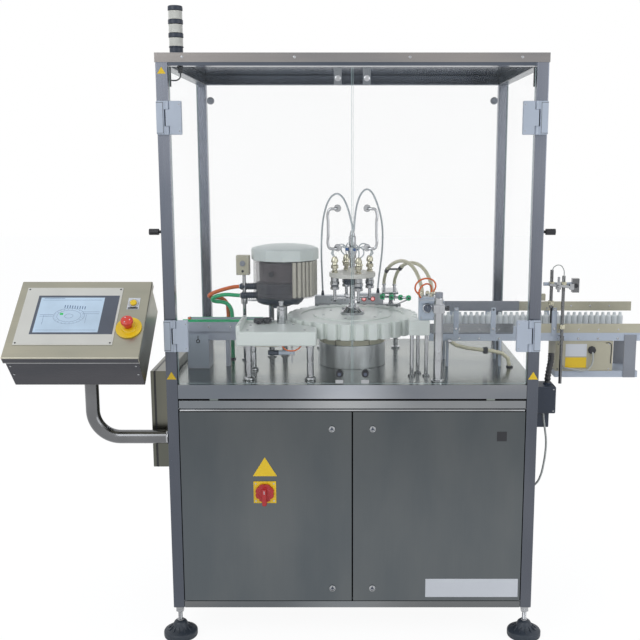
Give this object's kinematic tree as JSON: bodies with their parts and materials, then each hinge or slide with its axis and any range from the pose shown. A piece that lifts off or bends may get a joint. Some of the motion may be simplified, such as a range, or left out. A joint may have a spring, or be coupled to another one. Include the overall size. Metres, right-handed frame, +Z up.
{
  "type": "piston liquid filler",
  "caption": "Rotary piston liquid filler: guarded star wheel and filling turret on a stainless cabinet, with infeed conveyor, bowl feeder and swivelling control panel.",
  "frame": {"origin": "on the floor, in the middle of the overall footprint", "axes": "+Z up, +Y from the operator's side to the back, +X to the infeed conveyor's side"},
  "size_m": [2.225, 1.132, 2.2268],
  "materials": {
    "brushed_stainless": "brushed along each member, satin",
    "cabinet_stainless": "vertical brush, slightly darker",
    "machined_steel": "turned, satin",
    "clear_guard": "clear polycarbonate",
    "foot_rubber": "blue-black moulded",
    "blue_black_plastic": "fine moulded grain",
    "polished_steel": "polished",
    "grey_paint": "light blue-grey",
    "beige_paint": "satin beige-grey",
    "white_plastic": "machined off-white",
    "black_plastic": "satin black",
    "red_plastic": "glossy red",
    "yellow_plastic": "glossy yellow",
    "belt_plastic": "slatted grey",
    "hose": "translucent cream hose"
  },
  "bodies": {
    "machine": {"frame": "brushed_stainless", "roof_cover": "brushed_stainless", "table_top": "brushed_stainless", "left_side_panel": "cabinet_stainless", "right_side_panel": "cabinet_stainless", "rear_panel": "cabinet_stainless", "base_tray": "brushed_stainless", "left_guard_window": "clear_guard", "right_guard_window": "clear_guard", "rear_guard_window": "clear_guard", "levelling_foot_front_left": "foot_rubber", "levelling_foot_front_right": "foot_rubber", "levelling_foot_rear_left": "foot_rubber", "levelling_foot_rear_right": "foot_rubber", "stack_light": "blue_black_plastic", "side_box_body": "brushed_stainless", "arm_pipe": "polished_steel", "hinge_base_left_lower": "grey_paint", "hinge_base_left_upper": "grey_paint", "hinge_base_right_lower": "grey_paint", "hinge_base_right_upper": "grey_paint", "wheel_drum": "machined_steel", "index_drive": "grey_paint", "guide_block": "white_plastic", "guide_posts": "polished_steel", "bowl_drive": "black_plastic", "bowl_guard": "clear_guard", "dosing_station": "grey_paint", "dosing_cylinder": "polished_steel", "filling_station": "beige_paint", "conveyor_frame": "brushed_stainless", "conveyor_belt": "belt_plastic", "conveyor_drive_box": "beige_paint", "bottle_queue": "white_plastic", "junction_box": "blue_black_plastic", "outfeed_conveyor": "grey_paint", "air_union_and_hoses": "hose", "product_hoses": "hose"},
    "cabinet_door_left": {"cabinet_door_left": "cabinet_stainless"},
    "cabinet_door_right": {"cabinet_door_right": "cabinet_stainless"},
    "main_switch_knob": {"main_switch_knob": "red_plastic"},
    "left_upper_lock": {"left_upper_lock": "polished_steel"},
    "left_lower_lock": {"left_lower_lock": "polished_steel"},
    "right_upper_lock": {"right_upper_lock": "polished_steel"},
    "right_lower_lock": {"right_lower_lock": "polished_steel"},
    "guard_door_left": {"guard_door_left": "clear_guard", "door_handle_left": "polished_steel"},
    "guard_door_right": {"guard_door_right": "clear_guard", "door_handle_right": "polished_steel"},
    "side_box_door": {"side_box_door": "brushed_stainless"},
    "control_panel": {"panel_housing": "brushed_stainless", "panel_front": "beige_paint"},
    "estop_button": {"estop_button": "red_plastic"},
    "push_button": {"push_button": "yellow_plastic"},
    "star_wheel": {"star_wheel": "white_plastic", "turret_head": "polished_steel"},
    "turret_plungers": {"turret_plungers": "black_plastic"},
    "conveyor_drive_roller": {"conveyor_drive_roller": "polished_steel"},
    "bowl_lid": {"bowl_lid": "white_plastic"},
    "dosing_piston": {"dosing_piston": "black_plastic"}
  },
  "joints": [
    {"name": "cabinet_door_left_hinge", "type": "hinge", "parent": "machine", "child": "cabinet_door_left", "pos_m": [-0.581, -0.33128, 0.144], "axis": [0, 0, -1], "range_deg": [0, 110]},
    {"name": "cabinet_door_right_hinge", "type": "hinge", "parent": "machine", "child": "cabinet_door_right", "pos_m": [0.626, -0.33128, 0.144], "axis": [0, 0, 1], "range_deg": [0, 110]},
    {"name": "main_switch_turn", "type": "hinge", "parent": "cabinet_door_left", "child": "main_switch_knob", "pos_m": [-0.2885, -0.33528, 0.557], "axis": [0, 1, 0], "range_deg": [0, 90]},
    {"name": "left_upper_lock_turn", "type": "hinge", "parent": "cabinet_door_left", "child": "left_upper_lock", "pos_m": [-0.0495, -0.33528, 0.789], "axis": [0, 1, 0], "range_deg": [0, 90]},
    {"name": "left_lower_lock_turn", "type": "hinge", "parent": "cabinet_door_left", "child": "left_lower_lock", "pos_m": [-0.0495, -0.33528, 0.192], "axis": [0, 1, 0], "range_deg": [0, 90]},
    {"name": "right_upper_lock_turn", "type": "hinge", "parent": "cabinet_door_right", "child": "right_upper_lock", "pos_m": [0.0945, -0.33528, 0.789], "axis": [0, 1, 0], "range_deg": [0, 90]},
    {"name": "right_lower_lock_turn", "type": "hinge", "parent": "cabinet_door_right", "child": "right_lower_lock", "pos_m": [0.0945, -0.33528, 0.192], "axis": [0, 1, 0], "range_deg": [0, 90]},
    {"name": "guard_door_left_hinge", "type": "hinge", "parent": "machine", "child": "guard_door_left", "pos_m": [-0.5895, -0.34728, 0.9525], "axis": [0, 0, -1], "range_deg": [0, 110]},
    {"name": "guard_door_right_hinge", "type": "hinge", "parent": "machine", "child": "guard_door_right", "pos_m": [0.6345, -0.34728, 0.9525], "axis": [0, 0, 1], "range_deg": [0, 110]},
    {"name": "side_box_hinge", "type": "hinge", "parent": "machine", "child": "side_box_door", "pos_m": [-0.6943, 0.28472, 0.631], "axis": [0, 0, -1], "range_deg": [0, 110]},
    {"name": "panel_swivel", "type": "hinge", "parent": "machine", "child": "control_panel", "pos_m": [-0.8925, -0.31528, 1.06], "axis": [0, 0, 1], "range_deg": [-90, 0]},
    {"name": "estop_press", "type": "slide", "parent": "control_panel", "child": "estop_button", "axis": [0, 0.6521, -0.7581], "range_m": [0, 0.004], "stiffness_N_per_m": 800, "springref_m": -0.002},
    {"name": "button_press", "type": "slide", "parent": "control_panel", "child": "push_button", "axis": [0, 0.6521, -0.7581], "range_m": [0, 0.003], "stiffness_N_per_m": 600, "springref_m": -0.002},
    {"name": "star_wheel_spin", "type": "hinge", "parent": "machine", "child": "star_wheel", "pos_m": [0.0225, 0.03472, 1.14], "axis": [0, 0, 1], "continuous": true},
    {"name": "plunger_lift", "type": "slide", "parent": "star_wheel", "child": "turret_plungers", "axis": [0, 0, 1], "range_m": [0, 0.028]},
    {"name": "conveyor_roller_spin", "type": "hinge", "parent": "machine", "child": "conveyor_drive_roller", "pos_m": [1.0875, 0.03472, 1.066], "axis": [0, 1, 0], "continuous": true},
    {"name": "bowl_lid_lift", "type": "slide", "parent": "machine", "child": "bowl_lid", "axis": [0, 0, 1], "range_m": [0, 0.12]},
    {"name": "dosing_piston_slide", "type": "slide", "parent": "machine", "child": "dosing_piston", "axis": [0, 0, 1], "range_m": [0, 0.05]}
  ]
}
